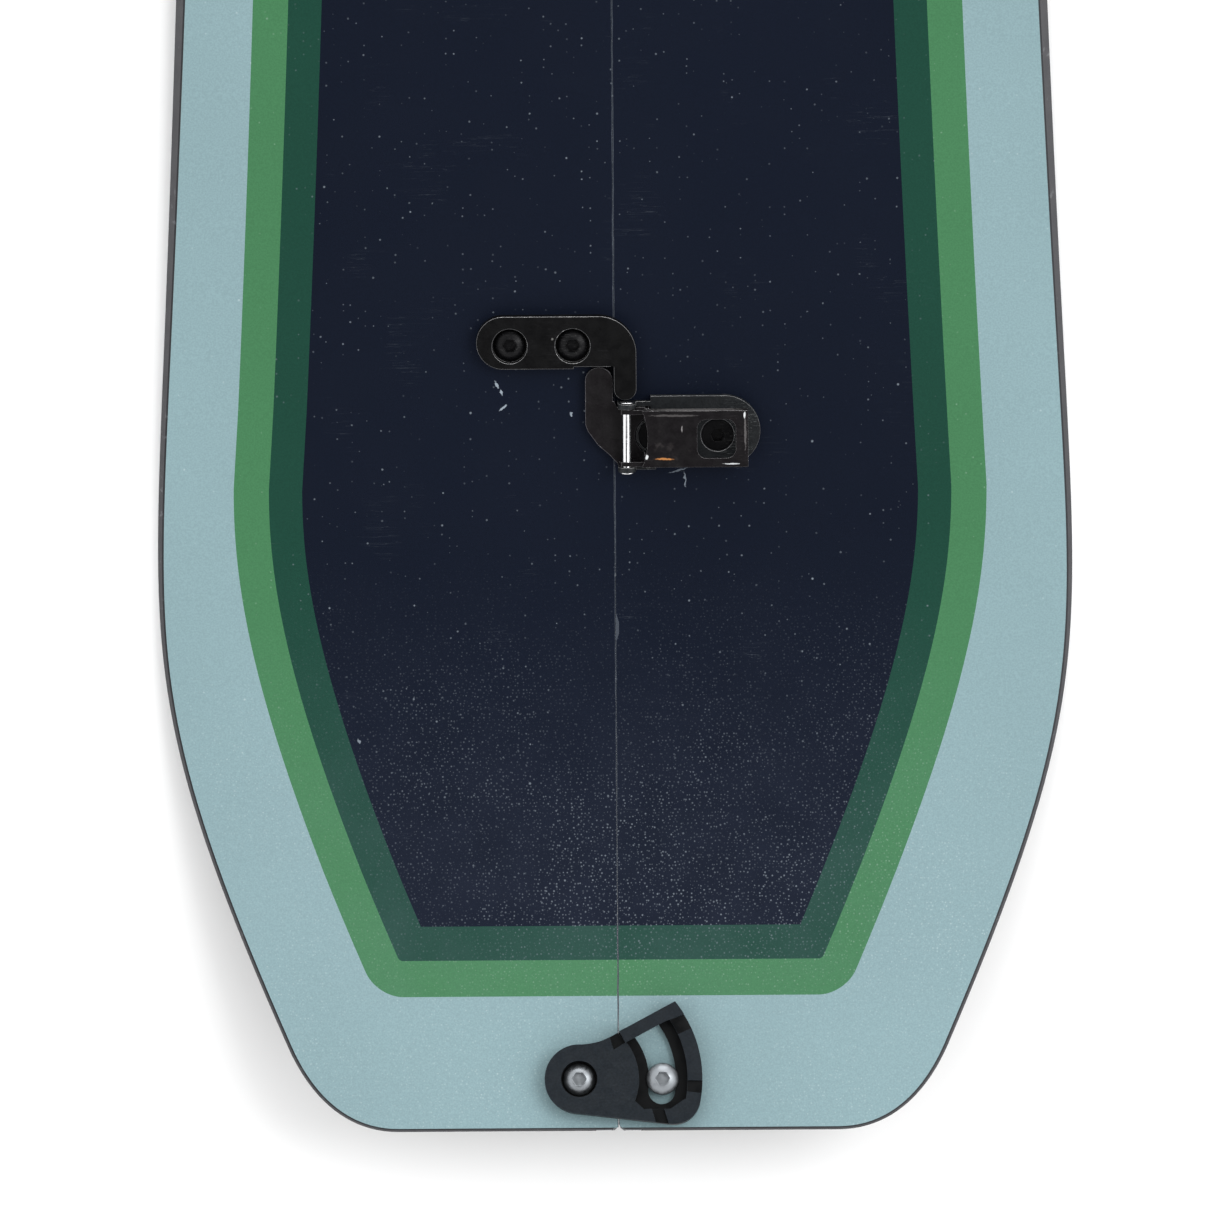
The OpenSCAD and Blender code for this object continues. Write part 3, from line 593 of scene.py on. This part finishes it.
# Coppery wear, with painted highlights: bright glints and lighter lines along the lever's edges. Columns:
# x, y, half width, half length in mm, colour, strength
LEVER_WEAR_AND_HIGHLIGHTS = ((15.9, -576.6, 4.4, 0.45, COPPER, 0.9), (37.2, -578.2, 3.8, 0.35, PAINTED_GLINT, 0.7),
               (10.2, -575.9, 0.9, 1.0, PAINTED_GLINT, 0.8), (27.8, -574.0, 0.8, 0.7, PAINTED_GLINT, 0.9),
               (41.4, -562.6, 0.4, 1.6, PAINTED_GLINT, 0.9), (41.6, -568.0, 0.5, 8.0, srgb(86, 84, 84), 0.9),
               (26.0, -560.8, 22.0, 0.62, srgb(92, 90, 90), 0.9),
               (19.0, -562.6, 10.5, 0.5, srgb(70, 68, 68), 0.9),
               (21.5, -567.0, 0.3, 1.6, srgb(140, 138, 138), 0.7))
# On the fixed hook: a painted glint and a grey spot
HOOK_MARKS = ((5.2, -533.6, 1.3, 1.1, PAINTED_GLINT, 0.8), (-19.5, -538.5, 0.5, 0.5, srgb(110, 110, 108), 0.8))
PAINTED_SHADE_HEIGHTS = (4.5, 5.1)  # heights in mm between which painted shade darkens the clips' sunken faces
PAINTED_SHADE_LEFT = 0.14  # what the painted shade leaves of their colour
# Rounded edges: metal showing through the worn coating, with a painted highlight on the faces towards the
# nose
hook_steel_and_highlight = dict(rough=0.30, metallic=0.6, shine=0.5, nose_painted_highlight=0.6)
CLIP_Y = {"tail": -END_Y + 16.2, "nose": END_Y - 21}
# The clip materials darken the clip's sunken faces with painted shade
clip_body_with_painted_shade = {end: hook_material(end + "_clip_coating_and_painted_shade", srgb(26, 31, 36), srgb(58, 64, 70), 0.25, 0.42,
                                painted_shade_from=y)
             for end, y in CLIP_Y.items()}
# The clip's rounded edges are lighter: partly wear, partly painted highlight
clip_rim = hook_material("clip_edges", srgb(42, 48, 54), srgb(92, 98, 104), 0.5, 0.38)
hook_black = hook_material("hook_black", srgb(9, 9, 10), srgb(40, 40, 42), 0.35, 0.40, shine=0.1,
                           marks=HOOK_MARKS)
# The rounded edges' lighter colours are partly wear of the coating and partly painted highlight
hook_edge = hook_material("hook_edges_wear_and_painted_highlight", srgb(84, 84, 86), srgb(225, 225, 225), 0.9, **hook_steel_and_highlight)
draw_dark = hook_material("draw_hook_dark", srgb(18, 16, 18), srgb(54, 52, 55), 0.3, 0.40)
draw_edge = hook_material("draw_hook_edges", srgb(74, 72, 76), srgb(190, 190, 192), 0.8, **hook_steel_and_highlight)
lever_dark = hook_material("lever_dark", srgb(17, 15, 17), srgb(64, 60, 60), 0.4, 0.36, marks=LEVER_WEAR_AND_HIGHLIGHTS)
lever_edge = hook_material("lever_edges_wear_and_painted_highlight", srgb(104, 102, 104), srgb(235, 235, 235), 0.9, **hook_steel_and_highlight)
base_dark = hook_material("latch_base_dark", srgb(30, 32, 34), srgb(112, 116, 116), 0.6, 0.36)
screw_black = hook_material("screw_black", srgb(13, 13, 15), srgb(90, 90, 90), 0.4, 0.35, 0.3)

# ---------------------------------------------------------------- the printed bands
BAND_SIDE = 25.8  # from the board's side to the bands' outer edge
BANDS = (0.0, 11.2, 21.8)  # where light green, dark green and navy start, from that edge
BAND_TAIL = -747.8
BAND_CORNER = 13.0
ARC_HANDLE = 0.56  # how long a quarter circle's curve handles are, as a share of its radius
GRAPHIC_SHIFT = 1.3  # how far the whole print sits to the left
LEFT_CORNER_SHIFT, LEFT_CORNER_FROM, LEFT_CORNER_RUN = 1.8, -560, 150
HOLE_R = 4.05
CHIP_Y, CHIP_REACH, CHIP_WIDTH = -633, 3.2, 1.0  # the larger chip at the seam


def band_curve():
    """Outer edge of the bands on a ski whose seam is at x = 0, from tail to nose."""
    tail = [(75.4, -744.0), (112.8, -660.5), (119.6, -620.8), (sidecut_x(-587) - BAND_SIDE, -587)]
    nose = [(125.8, 560), (125.8, 655), (80, 744), (0, 744)]
    points = curve(tail, 40) + [(sidecut_x(y) - BAND_SIDE, y) for y in range(-575, 506, 15)]
    return points + curve(nose, 60)


def band_line(width, shift):
    """The bands' outer edge moved inwards by width: flat across the tail, with its corner rounded."""
    points = band_curve()
    normals = inward(points)
    first, second = points[0], points[1]
    n = math.hypot(second[0] - first[0], second[1] - first[1])
    normals[0] = (-(second[1] - first[1]) / n, (second[0] - first[0]) / n)
    moved = [(p[0] + width * q[0], p[1] + width * q[1]) for p, q in zip(points, normals)]
    flat = BAND_TAIL + width
    # Run the side on down to the flat line
    a, b = moved[0], moved[1]
    while moved and moved[0][1] < flat:
        a, b = moved[0], moved[1]
        moved.pop(0)
    if a[1] > flat:
        b = moved[1]
    t = (flat - a[1]) / (b[1] - a[1])
    corner = (a[0] + t * (b[0] - a[0]), flat)
    r = max(0.0, BAND_CORNER - width)
    if r > 0.5:
        ux, uy = b[0] - a[0], b[1] - a[1]
        n = math.hypot(ux, uy)
        ux, uy = ux / n, uy / n
        reach = r * math.tan(math.acos(max(-1, min(1, ux))) / 2)
        p3 = (corner[0] + ux * reach, corner[1] + uy * reach)
        p0 = (corner[0] - reach, flat)
        handle = reach * ARC_HANDLE
        arc = [p0, (p0[0] + handle, flat), (p3[0] - ux * handle, p3[1] - uy * handle), p3]
        moved = curve(arc, 14) + [p for p in moved if p[1] > p3[1] + 0.2]
    else:
        moved = [corner] + [p for p in moved if p[1] > flat + 0.2]
    line = [(-6.0, flat)] + moved
    line = [(x + shift(y) if x > 0 else x, y) for x, y in line]
    line.append((-6.0, line[-1][1]))
    return line


def seam_wear(side):
    """Ragged inner limit of the topsheet's worn seam edge, with one larger chip."""
    rng = random.Random(11 if side > 0 else 5)
    line, y, w = [], -END_Y - 1, 0.3
    while y < END_Y + 1:
        w += (0.16 - w) * 0.3 + rng.uniform(-0.07, 0.07)
        width = max(0.07, min(0.34, w))
        if side > 0 and abs(y - CHIP_Y) < CHIP_REACH:
            width = CHIP_WIDTH
        line.append((TOP_SEAM + width, y))
        y += rng.uniform(1.2, 3.0)
    return line


def hole_places():
    """Insert holes of a ski in the topsheet, as (x, y, r), x outward."""
    places = [(x, foot + 40 * i) for foot in (-310, 250) for i in (-1.5, -0.5, 0.5, 1.5) for x in (45, 85)]
    places += [(x, y) for x in (45, 85) for y in (20, 60)]
    places += [(65, y) for y in (-130, -170)]
    return [(x, y, HOLE_R) for x, y in places]


def top_lean(y):
    """How far the topsheet's edge stands in from the board's, because the sidewall leans."""
    return LEAN * (core_t(y) + LAMINATE + TOPSHEET)


TIP_LEAN = LEAN * (TIP_CORE + LAMINATE + TOPSHEET)

for side, tag in ((-1, "left"), (1, "right")):

    def shift(y, side=side):
        """Sideways misprint of the bands, larger at the left ski's tail corner."""
        toward_tail = min(1.0, max(0.0, (LEFT_CORNER_FROM - y) / LEFT_CORNER_RUN))
        return -GRAPHIC_SHIFT * side + (LEFT_CORNER_SHIFT * toward_tail if side < 0 else 0.0)

    lines = [band_line(w, shift) for w in BANDS]
    wear = seam_wear(side)
    wear_area = wear + [(-5, END_Y + 1), (-5, -END_Y - 1)]

    def region(x, y, lines=lines, wear_area=wear_area):
        """Material of the topsheet at a place: the seam's worn edge, or how many band lines enclose it."""
        if inside((x, y), wear_area):
            return 4
        return sum(inside((x, y), line) for line in lines)

    radius = 1.3 if side > 0 else 0.2
    loop = closed(inset(top_lean), TOP_SEAM, TIP_LEAN, radius)
    top = plate("topsheet_" + tag + "_skin", side, loop,
                lambda y: top_z(y) - TOPSHEET, top_z, [pale, leaf, pine, navy, edge_wear],
                region, hole_places(), lines + [wear])
    rim = top.modifiers.new("rim", "BEVEL")
    rim.width = 0.00018
    rim.segments = 2
    rim.limit_method = "ANGLE"
    rim.angle_limit = math.radians(55)
    sharpen(top, 30)
    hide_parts("topsheet_" + tag)
    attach(top, "board")

    wall = rail("sidewall_" + tag + "_outer", side,
                lambda y: [(0.05, EDGE_H + 0.02), (SIDEWALL_W, EDGE_H + 0.02),
                           (SIDEWALL_W, core_top(y) - 0.02), (LEAN * core_t(y), core_top(y) - 0.02),
                           (0.05, EDGE_H + 0.35)],
                CORE_INNER, [sidewall])
    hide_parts("outer_sidewall_" + tag)
    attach(wall, "board")

    edge = rail("steel_edge_" + tag + "_outer", side,
                lambda y: [(0.0, 0.12), (0.12, 0.0), (EDGE_W, 0.0), (EDGE_W, EDGE_H),
                           (0.1, EDGE_H), (0.0, EDGE_H - 0.1)],
                SEAM + EDGE_W, [edge_steel])
    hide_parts("outer_edge_" + tag)
    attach(edge, "board")

    sole = plate("base_" + tag + "_sole", side, closed(inset(EDGE_W), SEAM + EDGE_W, EDGE_W, 0.5),
                 bottom_z, lambda y: bottom_z(y) + BASE_T, [base_plastic])
    sharpen(sole, 30)
    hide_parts("base_" + tag)
    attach(sole, "board")


# ---------------------------------------------------------------- carried CAD nodes
def dress(node, materials, bevel=0.0, segments=2):
    """Materials for a CAD node, and edges rounded by bevel mm, whose faces take the second material."""
    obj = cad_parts[node]
    obj.data.materials.clear()
    for m in materials:
        obj.data.materials.append(m)
    if bevel:
        weld = obj.modifiers.new("weld", "WELD")
        weld.merge_threshold = 0.00001
        flat = obj.modifiers.new("flat", "DECIMATE")
        flat.decimate_type = "DISSOLVE"
        flat.angle_limit = math.radians(1.2)
        round_ = obj.modifiers.new("round", "BEVEL")
        round_.width = bevel * MM
        round_.segments = segments
        round_.limit_method = "ANGLE"
        round_.angle_limit = math.radians(38)
        round_.use_clamp_overlap = True
        round_.harden_normals = True
        round_.miter_outer = "MITER_ARC"
        if len(materials) > 1:
            round_.material = 1


for tag in ("left", "right"):
    dress("inner_edge_" + tag, [edge_steel])
    dress("lower_laminate_" + tag, [laminate])
    dress("upper_laminate_" + tag, [laminate])
    dress("core_" + tag, [wood])
    dress("tail_spacer_" + tag, [spacer])
    dress("nose_spacer_" + tag, [spacer])
    dress("inner_sidewall_" + tag, [sidewall])
    for kind in ("binding", "touring", "hardware"):
        dress(kind + "_inserts_" + tag, [insert_steel])

for end in ("tail", "nose"):
    dress(end + "_clip", [clip_body_with_painted_shade[end], clip_rim], 0.3, 3)
    for name in ("_clip_bushing", "_stud_bushing"):
        dress(end + name, [screw_steel])
    for name in ("_clip_pivot_screw", "_stud_screw"):
        dress(end + name, [screw_steel, screw_steel], 0.2, 2)

for end in ("rear", "front"):
    dress(end + "_fixed_hook", [hook_black, hook_edge], 0.85, 3)
    dress(end + "_fixed_hook_screws", [screw_black, screw_black], 0.15, 2)
    dress(end + "_latch_base", [base_dark, hook_edge], 0.5, 2)
    dress(end + "_latch_screws", [screw_black, screw_black], 0.12, 2)
    dress(end + "_latch_pin", [pin_steel, pin_steel], 0.2, 2)
    dress(end + "_latch_lever", [lever_dark, lever_edge], 0.5, 2)
    dress(end + "_draw_hook", [draw_dark, draw_edge], 0.35, 2)

# ---------------------------------------------------------------- studio
floor_mat = Nodes("studio_floor")
FLOOR_HALF = 9000
floor_cloud = floor_mat.ramp(floor_mat.noise(3, 2.0), 0.3, 0.7)
floor_color = floor_mat.mix(floor_cloud, (0.90, 0.90, 0.90), (0.93, 0.93, 0.93))
floor_corners = [(x * FLOOR_HALF, y * FLOOR_HALF, 0) for x, y in ((-1, -1), (1, -1), (1, 1), (-1, 1))]
floor_material = floor_mat.finish(floor_color, 0.9)
floor = new_object("studio_floor", floor_corners, [[0, 1, 2, 3]], [floor_material], smooth=False)
floor.location.z = -0.0002

SURROUND, OVERHEAD = 1.48, 0.16  # strength of the sky around the board and straight above it
world = bpy.data.worlds.new("studio")
scene.world = world
world.use_nodes = True
background = next(n for n in world.node_tree.nodes if n.type == "BACKGROUND")
sky = world.node_tree.nodes
direction = sky.new("ShaderNodeTexCoord")
height = sky.new("ShaderNodeSeparateXYZ")
overhead = sky.new("ShaderNodeMapRange")
overhead.interpolation_type = "SMOOTHSTEP"
for key, v in (("From Min", 0.80), ("From Max", 0.97), ("To Min", SURROUND), ("To Max", OVERHEAD)):
    overhead.inputs[key].default_value = v
world.node_tree.links.new(direction.outputs["Generated"], height.inputs[0])
world.node_tree.links.new(height.outputs["Z"], overhead.inputs["Value"])
world.node_tree.links.new(overhead.outputs["Result"], background.inputs["Strength"])
background.inputs["Color"].default_value = (1.0, 1.0, 1.0, 1.0)


def area_light(name, place, target, size, power):
    light = bpy.data.lights.new(name, "AREA")
    light.shape = "RECTANGLE"
    light.size, light.size_y = size
    light.energy = power
    obj = bpy.data.objects.new(name, light)
    obj.location = place
    aim = Vector(target) - Vector(place)
    obj.rotation_euler = aim.to_track_quat("-Z", "Y").to_euler()
    scene.collection.objects.link(obj)


area_light("key", (2.1, 0.3, 2.6), (0.0, -0.5, 0.0), (1.8, 1.8), 40)
area_light("nose_strip", (0.1, 2.2, 0.55), (0.0, -0.5, 0.0), (2.0, 0.35), 20)

# ---------------------------------------------------------------- camera
VIEW_CENTRE = Vector((-0.0008, -0.6257, 0.018))  # what the frame is centred on
TILT = math.radians(9)
ROLL = math.radians(0.37)
DISTANCE = 8.0
HALF_FRAME = 0.1949
SENSOR = 36
camera_data = bpy.data.cameras.new("camera")
camera_data.sensor_width = SENSOR
camera_data.lens = SENSOR / 2 * DISTANCE / HALF_FRAME
camera_data.clip_end = 60
camera = bpy.data.objects.new("camera", camera_data)
back = Vector((0, math.sin(TILT), math.cos(TILT)))
up = Vector((0, math.cos(TILT), -math.sin(TILT)))
right = up.cross(back)
turn = Matrix((right, up, back)).transposed() @ Matrix.Rotation(-ROLL, 3, "Z")
camera.matrix_world = Matrix.Translation(VIEW_CENTRE + back * DISTANCE) @ turn.to_4x4()
scene.collection.objects.link(camera)
scene.camera = camera

bpy.context.view_layer.update()
